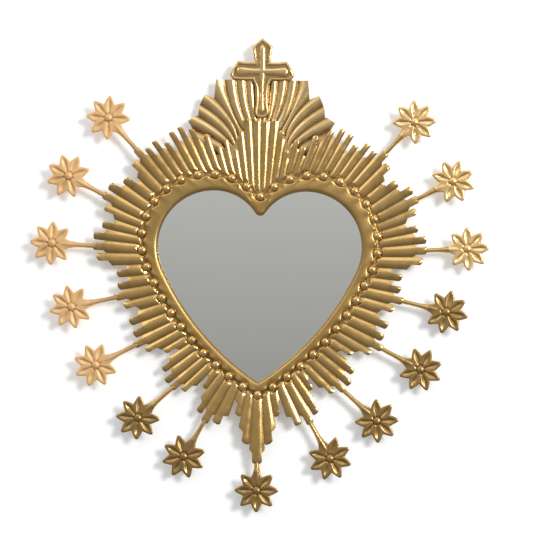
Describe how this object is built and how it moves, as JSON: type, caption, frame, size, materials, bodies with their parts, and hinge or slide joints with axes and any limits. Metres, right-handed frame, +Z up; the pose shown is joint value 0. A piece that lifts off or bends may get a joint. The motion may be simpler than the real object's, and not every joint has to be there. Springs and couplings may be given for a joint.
{
  "type": "sunburst mirror",
  "caption": "Heart-shaped wall mirror in a fluted brass sunburst with star finials, a row of dome tacks, a flame crest and a cross; it hangs from a keyhole plate.",
  "frame": {"origin": "centre of the keyhole's round hole, on the rear face of the hanger plate", "axes": "+Z up along the mirror's height, +X to the viewer's right, +Y back towards the wall"},
  "size_m": [0.4844, 0.0178, 0.5006],
  "materials": {
    "brass_sheet": "satin, rubbed antique gold",
    "brass_band": "satin",
    "brass_tack": "polished",
    "brass_star": "satin, warm gold",
    "mirror_glass": "silvered glass",
    "kraft_card": "unbleached card",
    "hardboard": "hardboard",
    "fibreboard": "raw fibreboard",
    "zinc_steel": "zinc plated",
    "bumper_rubber": "matt"
  },
  "bodies": {
    "root": {"sunburst_plate": "brass_sheet", "crest_plate": "brass_sheet", "crest_cross": "brass_sheet", "heart_bezel": "brass_band", "dome_tacks": "brass_tack", "mirror_glass": "mirror_glass", "backing_card": "kraft_card", "back_board": "hardboard", "rear_frame": "fibreboard", "hanger_plate": "zinc_steel", "hanger_screws": "zinc_steel", "button_screws": "zinc_steel", "wall_bumpers": "bumper_rubber", "star_01": "brass_star", "star_02": "brass_star", "star_03": "brass_star", "star_04": "brass_star", "star_05": "brass_star", "star_06": "brass_star", "star_07": "brass_star", "star_08": "brass_star", "star_09": "brass_star", "star_10": "brass_star", "star_11": "brass_star", "star_12": "brass_star", "star_13": "brass_star", "star_14": "brass_star", "star_15": "brass_star"},
    "turn_button_1_body": {"turn_button_1": "zinc_steel"},
    "turn_button_2_body": {"turn_button_2": "zinc_steel"},
    "turn_button_3_body": {"turn_button_3": "zinc_steel"},
    "turn_button_4_body": {"turn_button_4": "zinc_steel"},
    "turn_button_5_body": {"turn_button_5": "zinc_steel"},
    "turn_button_6_body": {"turn_button_6": "zinc_steel"}
  },
  "joints": [
    {"name": "turn_button_1_swivel", "type": "hinge", "parent": "root", "child": "turn_button_1_body", "pos_m": [0.05565, 0.0007, 0.01299], "axis": [0, 1, 0], "continuous": true},
    {"name": "turn_button_2_swivel", "type": "hinge", "parent": "root", "child": "turn_button_2_body", "pos_m": [0.12062, 0.0007, -0.07214], "axis": [0, 1, 0], "continuous": true},
    {"name": "turn_button_3_swivel", "type": "hinge", "parent": "root", "child": "turn_button_3_body", "pos_m": [0.04398, 0.0007, -0.18394], "axis": [0, 1, 0], "continuous": true},
    {"name": "turn_button_4_swivel", "type": "hinge", "parent": "root", "child": "turn_button_4_body", "pos_m": [-0.04398, 0.0007, -0.18394], "axis": [0, 1, 0], "continuous": true},
    {"name": "turn_button_5_swivel", "type": "hinge", "parent": "root", "child": "turn_button_5_body", "pos_m": [-0.12062, 0.0007, -0.07214], "axis": [0, 1, 0], "continuous": true},
    {"name": "turn_button_6_swivel", "type": "hinge", "parent": "root", "child": "turn_button_6_body", "pos_m": [-0.05565, 0.0007, 0.01299], "axis": [0, 1, 0], "continuous": true}
  ]
}
